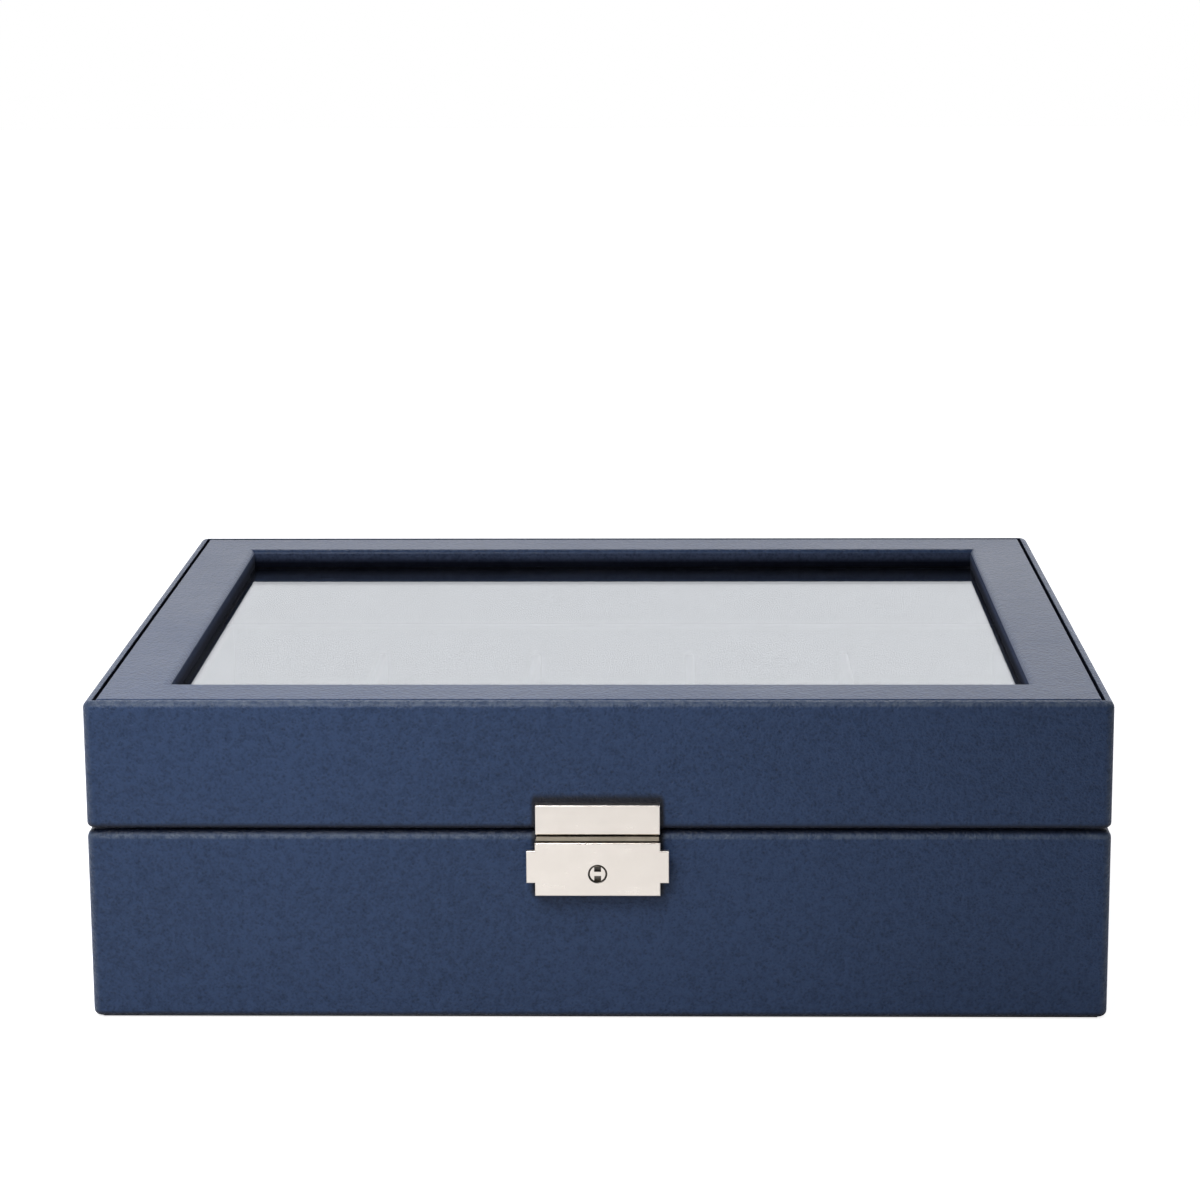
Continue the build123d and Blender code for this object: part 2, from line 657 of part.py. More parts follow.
def lid_cover():
    """The leatherette of the lid: outside, under the rim, and over the thin upstand at the top."""
    shell = rounded_block(0, (LID_BOTTOM, HEIGHT), CORNER_ROUND)
    shell = fillet(outer_edges(shell, -1), LID_TOP_ROUND)
    shell = fillet(outer_edges(shell, 0), LID_RIM_ROUND)
    shell -= inset_block(LIP, (LEDGE_Z, HEIGHT))
    shell = fillet(window_edges(shell, LIP), LIP_ROUND)
    core = board_core((LID_BOARD_BOTTOM, HEIGHT - SKIN), (0, -1))
    shell -= core - inset_block(SKIN + LIP_BOARD, (LEDGE_Z, HEIGHT))
    shell -= inset_block(LID_FACE, (SEAM_Z, LEDGE_Z))
    for pocket in leaf_pockets("lid"):
        shell -= pocket
    for x in both(HASP_RIVET_X):
        shell -= hasp_rivet(x, SCREW_PLAY)
    return shell


def window_edges(shape, inset):
    """The edges of a frame's top that run round its window."""
    reach = HALF_W - inset + 1e-6, HALF_D - inset + 1e-6
    return [
        e for e in outer_edges(shape, -1)
        if abs(e.center().X) < reach[0] and abs(e.center().Y) < reach[1]
    ]


def rail_ring():
    """The wood of the top frame before it is cut into rails, its inner top edge rounded."""
    z = (LEDGE_Z, HEIGHT - SKIN)
    ring = inset_block(FRAME_EDGE + SKIN, z) - inset_block(FRAME_WIDTH - SKIN, z)
    return fillet(window_edges(ring, FRAME_WIDTH - SKIN), BOARD_ROUND)


def frame_rails():
    """Four mitred rails of the top frame, rebated underneath for the pane."""
    outer = FRAME_EDGE + SKIN
    ring = rail_ring() - inset_block(GLASS_EDGE - GLASS_PLAY, (LEDGE_Z, LEDGE_Z + GLASS))
    made = {}
    reach = HALF_W
    x_out, y_out = HALF_W - outer, HALF_D - outer
    for name, sign in (("front", -1), ("back", 1)):
        corners = [
            (-x_out, sign * y_out), (x_out, sign * y_out),
            (x_out - y_out, 0), (y_out - x_out, 0),
        ]
        wedge = Pos(0, 0, LEDGE_Z) * extrude(make_face(Polyline(*corners, close=True)), amount=reach)
        made[f"frame_{name}_rail"] = ring & wedge
    for name, sign in (("left", -1), ("right", 1)):
        corners = [
            (sign * x_out, -y_out), (sign * x_out, y_out), (sign * (x_out - y_out), 0),
        ]
        wedge = Pos(0, 0, LEDGE_Z) * extrude(make_face(Polyline(*corners, close=True)), amount=reach)
        made[f"frame_{name}_rail"] = ring & wedge
    return made


def frame_cover():
    """The leatherette of the top frame: its top, its outer edge in the groove and its inner edge down to the pane."""
    z = (LEDGE_Z, HEIGHT)
    shell = inset_block(FRAME_EDGE, z)
    shell = fillet(outer_edges(shell, -1), FRAME_OUTER_ROUND) - inset_block(FRAME_WIDTH, z)
    shell = fillet(window_edges(shell, FRAME_WIDTH), FRAME_INNER_ROUND) - rail_ring()
    return shell - inset_block(FRAME_WIDTH - SKIN, (LEDGE_Z, LEDGE_Z + GLASS))


def glass_pane():
    return inset_block(GLASS_EDGE, (LEDGE_Z, LEDGE_Z + GLASS))


def glass_beads():
    z = (LEDGE_Z - BEAD_HEIGHT, LEDGE_Z)
    x_out, y_out = HALF_W - LID_FACE, HALF_D - LID_FACE
    x_in = HALF_W - GLASS_EDGE - BEAD_COVERS
    y_in = HALF_D - GLASS_EDGE - BEAD_COVERS
    made = {
        "glass_bead_front": block(both(x_out), (-y_out, -y_in), z),
        "glass_bead_back": block(both(x_out), (y_in, y_out), z),
        "glass_bead_left": block((-x_out, -x_in), both(y_in), z),
        "glass_bead_right": block((x_in, x_out), both(y_in), z),
    }
    for name, bead in made.items():
        along = Axis.X if name.endswith(("front", "back")) else Axis.Y
        lowest = bead.edges().filter_by(along).group_by(Axis.Z)[0]
        reach = Axis.Y if along == Axis.X else Axis.X
        inner = sorted(lowest, key=lambda e: abs(getattr(e.center(), "Y" if reach == Axis.Y else "X")))[0]
        made[name] = fillet(inner, BEAD_ROUND)
    return made


def lid_lining():
    """The velvet strip inside the lid's walls, from the rim up to the beads."""
    z = (LID_BOARD_BOTTOM, LEDGE_Z - BEAD_HEIGHT)
    return inset_block(LID_FACE, z) - inset_block(LID_FACE + LID_LINING, z)


def build():
    parts = {
        "base_cover": base_cover(),
        "base_felt": base_felt(),
        "floor_pad": floor_pad(),
        "lid_cover": lid_cover(),
        "frame_cover": frame_cover(),
        "glass_pane": glass_pane(),
        "lid_lining": lid_lining(),
        "hasp": hasp(),
        "hasp_rivets": [hasp_rivet(x, 0) for x in both(HASP_RIVET_X)],
        "lock_case": lock_case(),
        "lock_screws": case_screws(),
        "lock_spring": lock_spring(),
        "lock_face": lock_face(),
        "key_cylinder": key_cylinder(),
        "lock_cam": lock_cam(),
        "hinge_base_screws": all_leaf_screws("base"),
        "hinge_lid_screws": all_leaf_screws("lid"),
    }
    for group in (base_boards(), collar_boards(), dividers(), lid_boards(), frame_rails(), glass_beads()):
        parts.update(group)
    for number, centre in enumerate(cell_centres(), 1):
        parts[f"watch_cushion_{number}"] = cushion(centre)
    for name, centre in (("left", -HINGE_X), ("right", HINGE_X)):
        parts[f"hinge_base_leaf_{name}"] = hinge_leaf("base", centre)
        parts[f"hinge_lid_leaf_{name}"] = hinge_leaf("lid", centre)
        parts[f"hinge_pin_{name}"] = hinge_pin(centre)
    return parts


def main():
    os.makedirs("parts", exist_ok=True)
    for name, shape in build().items():
        if isinstance(shape, list):
            shape = Compound(children=[s.solid() for s in shape])
        export_step(shape, os.path.join("parts", name + ".step"))


main()
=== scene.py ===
import json
import math
import random

import bmesh
import bpy
import numpy as np
from mathutils import Matrix, Vector

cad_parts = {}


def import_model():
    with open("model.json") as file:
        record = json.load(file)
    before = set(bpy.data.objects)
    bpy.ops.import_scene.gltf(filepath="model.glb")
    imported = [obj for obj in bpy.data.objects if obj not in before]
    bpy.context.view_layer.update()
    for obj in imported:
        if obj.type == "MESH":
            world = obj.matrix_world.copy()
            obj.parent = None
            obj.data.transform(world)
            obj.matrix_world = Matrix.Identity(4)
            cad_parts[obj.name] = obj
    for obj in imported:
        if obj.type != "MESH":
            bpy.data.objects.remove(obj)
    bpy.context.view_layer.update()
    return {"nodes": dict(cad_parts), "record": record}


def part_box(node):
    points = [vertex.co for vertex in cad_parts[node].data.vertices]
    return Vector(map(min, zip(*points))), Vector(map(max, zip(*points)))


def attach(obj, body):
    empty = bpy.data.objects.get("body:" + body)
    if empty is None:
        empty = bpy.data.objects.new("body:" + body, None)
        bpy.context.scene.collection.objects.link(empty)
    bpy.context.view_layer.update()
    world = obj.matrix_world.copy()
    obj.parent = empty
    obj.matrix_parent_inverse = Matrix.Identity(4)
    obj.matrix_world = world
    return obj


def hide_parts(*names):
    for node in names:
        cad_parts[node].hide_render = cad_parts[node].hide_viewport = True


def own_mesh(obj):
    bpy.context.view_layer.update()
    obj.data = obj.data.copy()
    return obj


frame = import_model()
NODES = frame["nodes"]
SLOTS = {row["node"]: row["material_slot"] for row in frame["record"]["subparts"]}
BASE_BOX, LID_BOX, FRAME_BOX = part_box("base_cover"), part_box("lid_cover"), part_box("frame_cover")
HASP_BOX, FACE_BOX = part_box("hasp"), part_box("lock_face")
SEAM = (BASE_BOX[1][2] + LID_BOX[0][2]) / 2
CORNER_ROUND = 0.0026       # of the covers' upright corners, as in the CAD model
FACE_HALF = 0.0175          # half the width of the lock's face between its ears, with a little room
MM = 0.001


# Materials

class Nodes:
    """A node tree that grows one call at a time."""

    def __init__(self, tree, coordinates="Object"):
        self.tree = tree
        self.where = tree.nodes.new("ShaderNodeTexCoord").outputs[coordinates]
        axes = tree.nodes.new("ShaderNodeSeparateXYZ")
        self.link(self.where, axes.inputs[0])
        self.split = axes.outputs

    def link(self, source, target):
        self.tree.links.new(source, target)

    def feed(self, socket, value):
        if isinstance(value, bpy.types.NodeSocket):
            self.link(value, socket)
        else:
            socket.default_value = value

    def noise(self, scale, detail, rough=0.5, where=None, distort=0.0):
        node = self.tree.nodes.new("ShaderNodeTexNoise")
        node.inputs["Scale"].default_value = scale
        node.inputs["Detail"].default_value = detail
        node.inputs["Roughness"].default_value = rough
        node.inputs["Distortion"].default_value = distort
        self.link(where or self.where, node.inputs["Vector"])
        return node.outputs["Fac"]

    def cells(self, scale, smooth):
        node = self.tree.nodes.new("ShaderNodeTexVoronoi")
        node.feature = "SMOOTH_F1"
        node.inputs["Scale"].default_value = scale
        node.inputs["Smoothness"].default_value = smooth
        self.link(self.where, node.inputs["Vector"])
        return node.outputs["Distance"]

    def stretch(self, scale):
        node = self.tree.nodes.new("ShaderNodeMapping")
        node.inputs["Scale"].default_value = scale
        self.link(self.where, node.inputs["Vector"])
        return node.outputs["Vector"]

    def math(self, operation, a, b=0.0):
        node = self.tree.nodes.new("ShaderNodeMath")
        node.operation = operation
        self.feed(node.inputs[0], a)
        self.feed(node.inputs[1], b)
        return node.outputs[0]

    def ramp(self, value, low, high, to_low=0.0, to_high=1.0):
        node = self.tree.nodes.new("ShaderNodeMapRange")
        for name, number in (("From Min", low), ("From Max", high), ("To Min", to_low), ("To Max", to_high)):
            node.inputs[name].default_value = number
        self.link(value, node.inputs["Value"])
        return node.outputs["Result"]

    def mix(self, amount, a, b):
        """A mix of two colours."""
        node = self.tree.nodes.new("ShaderNodeMix")
        node.data_type = "RGBA"
        self.feed(node.inputs[0], amount)
        for index, colour in ((6, a), (7, b)):
            if not isinstance(colour, bpy.types.NodeSocket):
                colour = (*colour, 1.0)
            self.feed(node.inputs[index], colour)
        return node.outputs[2]

    def between(self, amount, a, b):
        """A mix of two numbers."""
        node = self.tree.nodes.new("ShaderNodeMix")
        for index, value in ((0, amount), (2, a), (3, b)):
            self.feed(node.inputs[index], value)
        return node.outputs[0]

    def rays(self, *kinds):
        """1 for a ray of any of these kinds, else 0."""
        paths = self.tree.nodes.new("ShaderNodeLightPath")
        total = paths.outputs[kinds[0]]
        for kind in kinds[1:]:
            total = self.math("MAXIMUM", total, paths.outputs[kind])
        return total

    def bump(self, height, distance, below=None):
        node = self.tree.nodes.new("ShaderNodeBump")
        node.inputs["Distance"].default_value = distance
        self.link(height, node.inputs["Height"])
        if below is not None:
            self.link(below, node.inputs["Normal"])
        return node.outputs["Normal"]


class Shader(Nodes):
    """A material with one Principled shader."""

    def __init__(self, name):
        self.material = bpy.data.materials.new(name)
        self.material.use_nodes = True
        super().__init__(self.material.node_tree)
        self.surface = self.tree.nodes["Principled BSDF"]

    def set(self, **values):
        for name, value in values.items():
            self.surface.inputs[name.replace("_", " ")].default_value = value

    def use(self, colour=None, roughness=None, normal=None):
        for name, value in (("Base Color", colour), ("Roughness", roughness), ("Normal", normal)):
            if value is not None:
                self.link(value, self.surface.inputs[name])
        return self.material


DARK_NAVY, LIGHT_NAVY = (0.008, 0.021, 0.055), (0.027, 0.052, 0.122)
WORN_AND_HIGHLIT = (0.105, 0.130, 0.170)      # leatherette lighter along its edges: wear, and a painted highlight
FOLD_SHADE = (0.0006, 0.003, 0.012)     # painted shade, where it turns in at the seam and under the base
PLATE_SHADE = (0.006, 0.007, 0.012)     # painted shade round the plates of the lock
PANE_SHADE = (0.002, 0.002, 0.004)        # painted shade, down beside the pane
PEBBLES, FINE_PEBBLES = 1150, 2500  # to the metre
FRONT_FADE = (-0.104, -0.108)       # along Y, from where the shade round the plates starts to where it is full


def near_height(m, height, reach):
    """1 at this height, and 0 further from it than reach."""
    off = m.math("ABSOLUTE", m.math("SUBTRACT", m.split[2], height))
    return m.ramp(off, 0.4 * reach, reach, 1.0, 0.0)


def greatest(m, masks):
    total = masks[0]
    for mask in masks[1:]:
        total = m.math("MAXIMUM", total, mask)
    return total


def from_corner_centre(m):
    """How far out from the middles of the four rounded upright corners, along X and along Y."""
    return tuple(m.math("SUBTRACT", m.math("ABSOLUTE", m.split[axis]), BASE_BOX[1][axis] - CORNER_ROUND)
                 for axis in (0, 1))


def outer_band(m):
    """1 on and near the box's four outer faces, 0 further in than its rounded edges."""
    return m.ramp(m.math("MAXIMUM", *from_corner_centre(m)), 0.0, 0.0008)


def upright_corners(m):
    """1 at the middle of the rounded upright corners, 0 on the flat faces beside them."""
    return m.ramp(m.math("MINIMUM", *from_corner_centre(m)), 0.0002, 0.0022)


def round_plate(m, x_half, z_low, z_high, reach, lift):
    """Mask of the painted shade round an upright plate on the front face: 1 within lift of it, falling to 0 at
    reach from its outline.
    """
    middle, half = (z_low + z_high) / 2, (z_high - z_low) / 2
    across = m.math("SUBTRACT", m.math("ABSOLUTE", m.split[0]), x_half)
    across = m.math("MULTIPLY", across, 1.8)        # the shade reaches less far beside the plate than above it
    along = m.math("SUBTRACT", m.math("ABSOLUTE", m.math("SUBTRACT", m.split[2], middle)), half)
    across, along = m.math("MAXIMUM", across, 0.0), m.math("MAXIMUM", along, 0.0)
    far = m.math("SQRT", m.math("ADD", m.math("MULTIPLY", across, across), m.math("MULTIPLY", along, along)))
    front = m.ramp(m.split[1], *FRONT_FADE)
    return m.math("MULTIPLY", m.ramp(far, lift, reach, 1.0, 0.0), front)


def leatherette(name, dark, light, worn_and_highlit=(), shade_heights=(), plate=None, sheen=0.42, shine=0.26,
                rough=(0.40, 0.54), relief=1.0, pane_shade_at=None):
    """Pebble-grained navy leatherette: small rounded cells, fine pores, edges lightened by wear and a painted
    highlight, and painted shade where it turns in, round the lock's plates and beside the pane.
    """
    m = Shader(name)
    m.set(Specular_IOR_Level=shine, Sheen_Weight=sheen, Sheen_Roughness=0.35, Sheen_Tint=(0.62, 0.67, 0.91, 1))
    warp = m.noise(300, 2)
    pebble = m.cells(PEBBLES, 0.7)
    fine = m.cells(FINE_PEBBLES, 0.7)
    patches = m.noise(560, 4, 0.68)
    slow = m.noise(9, 3, 0.55)
    grain = m.math("ADD", m.math("MULTIPLY", pebble, 0.68), m.math("MULTIPLY", fine, 0.32))
    grain = m.math("ADD", grain, m.math("MULTIPLY", warp, 0.30))
    tone = m.math("ADD", m.math("MULTIPLY", m.ramp(grain, 0.2, 0.7), 0.24), m.math("MULTIPLY", patches, 0.58))
    tone = m.math("ADD", tone, m.math("MULTIPLY", slow, 0.18))
    colour = m.mix(m.ramp(tone, 0.34, 0.66), dark, light)
    gloss = m.ramp(m.math("ADD", slow, m.math("MULTIPLY", grain, 0.5)), 0.5, 1.1, *rough)
    if worn_and_highlit:
        # wear and painted highlight along the rounded edges and the upright corners
        wear_and_highlight = greatest(m, [near_height(m, *place) for place in worn_and_highlit] + [upright_corners(m)])
        wear_and_highlight = m.math("MULTIPLY", wear_and_highlight, m.ramp(patches, 0.40, 0.62, 0.25, 0.95))
        colour = m.mix(m.math("MULTIPLY", wear_and_highlight, 0.66), colour, WORN_AND_HIGHLIT)
    if shade_heights:
        # painted shade in the seam and along the bottom edge
        fold_shade = m.math("MULTIPLY", greatest(m, [near_height(m, *place) for place in shade_heights]), outer_band(m))
        colour = m.mix(m.math("MULTIPLY", fold_shade, 0.95), colour, FOLD_SHADE)
    if pane_shade_at is not None:
        # painted shade, darker down towards the pane
        colour = m.mix(m.math("MULTIPLY", near_height(m, *pane_shade_at), 0.92), colour, PANE_SHADE)
    waves = m.bump(m.noise(38, 2), 0.0006 * relief)
    soft = m.bump(patches, 0.00030 * relief, waves)
    if plate is not None:
        plate_shade = round_plate(m, *plate)
        # painted shade round the lock's plates
        colour = m.mix(m.math("MULTIPLY", plate_shade, 0.95), colour, PLATE_SHADE)
    normal = m.bump(grain, 0.00030 * relief, soft)
    return m.use(colour, gloss, normal)


def suede(name, dark, light, scale, sheen):
    """Short-pile cloth: brushed patches, a fine nap and a soft sheen."""
    m = Shader(name)
    m.set(Specular_IOR_Level=0.2, Sheen_Weight=sheen, Sheen_Roughness=0.45, Sheen_Tint=(0.55, 0.57, 0.64, 1))
    nap = m.noise(2600 * scale, 2, 0.7)
    brushed = m.noise(48 * scale, 3, 0.6, distort=0.8)
    tone = m.math("ADD", m.math("MULTIPLY", nap, 0.5), m.math("MULTIPLY", brushed, 0.5))
    colour = m.mix(m.ramp(tone, 0.32, 0.68), dark, light)
    rough = m.ramp(brushed, 0.3, 0.7, 0.82, 0.96)
    normal = m.bump(nap, 0.00022)
    return m.use(colour, rough, normal)


def nickel(name, bright, shade, rough_low, rough_high):
    """Satin plated metal with fine brushing along X and faint handling marks."""
    m = Shader(name)
    m.set(Metallic=1.0)
    brushed = m.noise(900, 3, 0.6, where=m.stretch((0.06, 1.0, 1.0)))
    marks = m.noise(160, 4, 0.65)
    colour = m.mix(m.ramp(marks, 0.4, 0.75), bright, shade)
    rough = m.ramp(m.math("ADD", brushed, m.math("MULTIPLY", marks, 0.6)), 0.5, 1.1, rough_low, rough_high)
    normal = m.bump(brushed, 0.000006)
    return m.use(colour, rough, normal)


def fibreboard():
    m = Shader("fibreboard")
    m.set(Specular_IOR_Level=0.2)
    fibre = m.noise(900, 4, 0.7, where=m.stretch((0.35, 1.0, 1.0)))
    colour = m.mix(fibre, (0.24, 0.16, 0.10), (0.46, 0.34, 0.22))
    return m.use(colour, m.ramp(fibre, 0.3, 0.7, 0.7, 0.9), m.bump(fibre, 0.0001))


def pane_glass():
    m = Shader("pane_glass")
    m.set(Roughness=0.0, Transmission_Weight=1.0, IOR=1.52)
    return m.use(m.mix(m.noise(14, 3, 0.6), (0.97, 0.985, 0.98), (0.95, 0.975, 0.97)))


def paint(name, material):
    data = NODES[name].data
    data.materials.clear()
    data.materials.append(material)
    for polygon in data.polygons:
        polygon.material_index = 0


def paint_where(name, material, test):
    """A second material on the polygons of a node whose middle passes a test."""
    data = NODES[name].data
    data.materials.append(material)
    for polygon in data.polygons:
        if test(polygon.center / MM, polygon.normal):
            polygon.material_index = len(data.materials) - 1


BASE_NAVY = leatherette(
    "base_leatherette", DARK_NAVY, LIGHT_NAVY,
    worn_and_highlit=((BASE_BOX[1][2] - 0.0015, 0.0010),),
    shade_heights=((BASE_BOX[1][2] + 0.0002, 0.0015), (BASE_BOX[0][2], 0.0019)),
    plate=(FACE_HALF, FACE_BOX[0][2], SEAM, 0.0026, 0.0004))
LID_NAVY = leatherette(
    "lid_leatherette", DARK_NAVY, LIGHT_NAVY,
    worn_and_highlit=((LID_BOX[1][2] - 0.0003, 0.0012),), shade_heights=((LID_BOX[0][2] - 0.0001, 0.0019),),
    plate=(HASP_BOX[1][0], SEAM, HASP_BOX[1][2], 0.0030, 0.0012))
FRAME_NAVY = leatherette("frame_leatherette", DARK_NAVY, LIGHT_NAVY, sheen=0.29, shine=0.32, rough=(0.34, 0.47),
                         relief=0.62)
# the window's inner walls: a lighter, less glossy copy of the leatherette toned for the light on them, with painted
# shade to near black beside the pane
WALL_SHADED_NAVY = leatherette("window_wall_shaded", (0.020, 0.028, 0.056), (0.044, 0.058, 0.104), sheen=0.09, shine=0.0,
                        relief=0.4, pane_shade_at=(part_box("glass_pane")[1][2], 0.0034))
# near-black leatherette: painted shade in the groove between the lid's lip and the frame
GROOVE_SHADE_NAVY = leatherette("groove", (0.003, 0.004, 0.009), (0.008, 0.010, 0.020), sheen=0.0, shine=0.05, relief=0.4)
INNER = suede("charcoal_suede", (0.008, 0.008, 0.011), (0.024, 0.024, 0.031), 1.0, 0.16)
VELVET = suede("cushion_velvet", (0.009, 0.009, 0.013), (0.032, 0.032, 0.043), 0.8, 0.3)
FELT = suede("black_felt", (0.006, 0.006, 0.008), (0.020, 0.020, 0.024), 0.6, 0.2)
LOCK = nickel("satin_nickel", (0.780, 0.724, 0.670), (0.762, 0.706, 0.652), 0.26, 0.34)
# darker olive nickel: painted shade on the lock case's upper edge under the hasp and round the key behind its front
OLIVE = nickel("shaded_olive_nickel", (0.33, 0.29, 0.232), (0.235, 0.203, 0.155), 0.30, 0.45)
# painted shade: near-black metal on the hasp's tongue behind the lock case, in the key's slot and round the key's
# hole
SHADE = nickel("painted_shade_steel", (0.14, 0.13, 0.12), (0.08, 0.07, 0.06), 0.35, 0.5)
STEEL = nickel("plain_steel", (0.60, 0.58, 0.55), (0.53, 0.51, 0.48), 0.28, 0.42)
HINGE = nickel("hinge_nickel", (0.74, 0.71, 0.67), (0.70, 0.67, 0.63), 0.26, 0.36)
BOARD = fibreboard()
GLASS = pane_glass()

BY_SLOT = {
    "leatherette": FRAME_NAVY, "board": BOARD, "base_felt": FELT, "suede": INNER, "cushion_velvet": VELVET,
    "glass": GLASS, "hinge_metal": HINGE, "fixings": STEEL, "lock_nickel": LOCK, "lock_steel": STEEL,
}
for node_name, slot_name in SLOTS.items():
    paint(node_name, BY_SLOT[slot_name])
paint("base_cover", BASE_NAVY)
paint("lid_cover", LID_NAVY)


# Cushions

PANEL_POINTS = 72           # round each ring of a cushion's cloth
PANEL_ROWS = 18             # from seam to seam
OUTLINE_STEPS = 720         # points that the evenly spaced ones are taken from
SQUARE_ENDS, SQUARE_TOP, SQUARE_BASE = 3.2, 2.7, 4.5    # 2 is an ellipse, and more is squarer

# In mm
START_ROOM, START_DROP = 1.0, 1.2   # how much smaller the panels are than the solid before they swell
WRINKLE = 0.15              # how far a point of the cloth is off at the start
END_DEPTH = 2.4             # from the seams to the ends of the solid
END_INSET = 2.2             # how much smaller the ends are than the middle
END_CAPS = ((0.12, 1.7), (0.3, 1.6), (0.5, 1.45), (0.68, 1.2), (0.84, 0.85), (0.95, 0.4))   # share of size, out
MOST_MOVE = 4.0             # of a point in the simulation
SIDE_ROOM, TOP_ROOM, FLOOR_ROOM = 0.3, 0.15, 0.05       # between the finished cushion and the solid's box
PRESSED_FLAT = 0.6          # extra height, which the floor of the compartment presses flat

SIM_SCALE = 0.01            # 1 mm of cloth is simulated as 10 mm, where the solver is steady
SIM_FRAMES = 20
KIND_SEEDS = (3, 8, 21)     # three cushions are stuffed, and the ten are mirrored and turned copies
TURNED = (2, 3, 7, 10)


def cushion_outline(count, half, z_low, z_high):
    """Evenly spaced points round a cushion seen from its side: flat below, round at its ends, crowned on top."""
    middle, rise = (z_low + z_high) / 2, (z_high - z_low) / 2
    dense = []
    for i in range(OUTLINE_STEPS):
        turn = math.tau * i / OUTLINE_STEPS
        c, s = math.cos(turn), math.sin(turn)
        power = 2 / (SQUARE_TOP if s > 0 else SQUARE_BASE)
        dense.append(Vector((0, half * math.copysign(abs(c) ** (2 / SQUARE_ENDS), c),
                             middle + rise * math.copysign(abs(s) ** power, s))))
    marks = [0.0]
    for here, after in zip(dense, dense[1:] + dense[:1]):
        marks.append(marks[-1] + (after - here).length)
    even = np.arange(count) * marks[-1] / count
    closed = dense + dense[:1]
    return [Vector((0, np.interp(at, marks, [p.y for p in closed]), np.interp(at, marks, [p.z for p in closed])))
            for at in even]


def cushion_start(box, seed):
    """The cut panels before stuffing, about the origin: one wrapped panel and two ends that meet it at a seam."""
    size = [(high - low) / MM for low, high in zip(*box)]
    half_y = size[1] / 2
    seam_x = size[0] / 2 - END_DEPTH
    draw = random.Random(seed)
    bm = bmesh.new()
    loops = []

    def ring(x, inset, shrink=1.0):
        points = cushion_outline(PANEL_POINTS, half_y - START_ROOM - inset, inset * 0.5,
                                 size[2] - START_DROP - inset)
        middle = Vector((0, 0, size[2] / 2))
        made = []
        for point in points:
            place = middle + (point - middle) * shrink
            jitter = Vector([draw.uniform(-WRINKLE, WRINKLE) for _ in range(3)])
            made.append(bm.verts.new(Vector((x, 0, 0)) + place + jitter))
        loops.append(made)
        return made

    for shrink, out in END_CAPS:
        ring(-seam_x - out, END_INSET, shrink)
    seams = []
    for row in range(PANEL_ROWS + 1):
        share = -1 + 2 * row / PANEL_ROWS
        made = ring(seam_x * share, END_INSET * abs(share) ** 6)
        if row in (0, PANEL_ROWS):
            seams.append(made)
    for shrink, out in reversed(END_CAPS):
        ring(seam_x + out, END_INSET, shrink)
    for near, far in zip(loops, loops[1:]):
        for i in range(PANEL_POINTS):
            j = (i + 1) % PANEL_POINTS
            bm.faces.new((near[i], near[j], far[j], far[i]))
    bm.faces.new(list(reversed(loops[0])))
    bm.faces.new(loops[-1])
    bmesh.ops.recalc_face_normals(bm, faces=bm.faces)
    bm.verts.index_update()
    pins = [[v.index for v in loop] for loop in seams]
    mesh = bpy.data.meshes.new("cushion_start")
    bm.to_mesh(mesh)
    bm.free()
    return mesh, pins


def stuffed(box, seed):
    """Cloth, blown up between its seams, then fitted to the box of the solid that it stands for."""
    mesh, pins = cushion_start(box, seed)
    size = [(high - low) / MM for low, high in zip(*box)]
    start = np.array([v.co for v in mesh.vertices])
    mesh.transform(Matrix.Scale(SIM_SCALE, 4))
    obj = bpy.data.objects.new("cushion_sim", mesh)
    bpy.context.scene.collection.objects.link(obj)
    obj.vertex_groups.new(name="seam").add([i for loop in pins for i in loop], 1.0, "REPLACE")
    cloth = obj.modifiers.new("cloth", "CLOTH")
    cloth.point_cache.frame_start, cloth.point_cache.frame_end = 1, SIM_FRAMES
    settings = cloth.settings
    settings.quality = 5
    settings.tension_stiffness = settings.compression_stiffness = 12
    settings.bending_stiffness = 0.3
    settings.shrink_min = settings.shrink_max = -0.035
    settings.use_pressure = True
    settings.uniform_pressure_force = 14
    settings.vertex_group_mass = "seam"
    settings.effector_weights.gravity = 0
    for step in range(1, SIM_FRAMES + 1):
        bpy.context.scene.frame_set(step)
    shaped = obj.evaluated_get(bpy.context.evaluated_depsgraph_get())
    after = np.array([v.co for v in shaped.data.vertices]) / SIM_SCALE
    bpy.data.objects.remove(obj)
    bpy.context.scene.frame_set(1)
    move = after - start
    length = np.linalg.norm(move, axis=1, keepdims=True)
    move *= np.minimum(1.0, MOST_MOVE / np.maximum(length, 1e-6))
    start = start + move
    low, high = start.min(axis=0), start.max(axis=0)
    want = np.array([size[0] - SIDE_ROOM, size[1] - SIDE_ROOM, size[2] + PRESSED_FLAT])
    middle = (low + high) / 2
    fitted = (start - middle) * (want / (high - low))
    fitted[:, 2] += size[2] - TOP_ROOM - want[2] / 2
    fitted[:, 2] = np.maximum(fitted[:, 2], FLOOR_ROOM)
    mesh.vertices.foreach_set("co", (fitted * MM).ravel())
    mesh.update()
    return mesh, pins


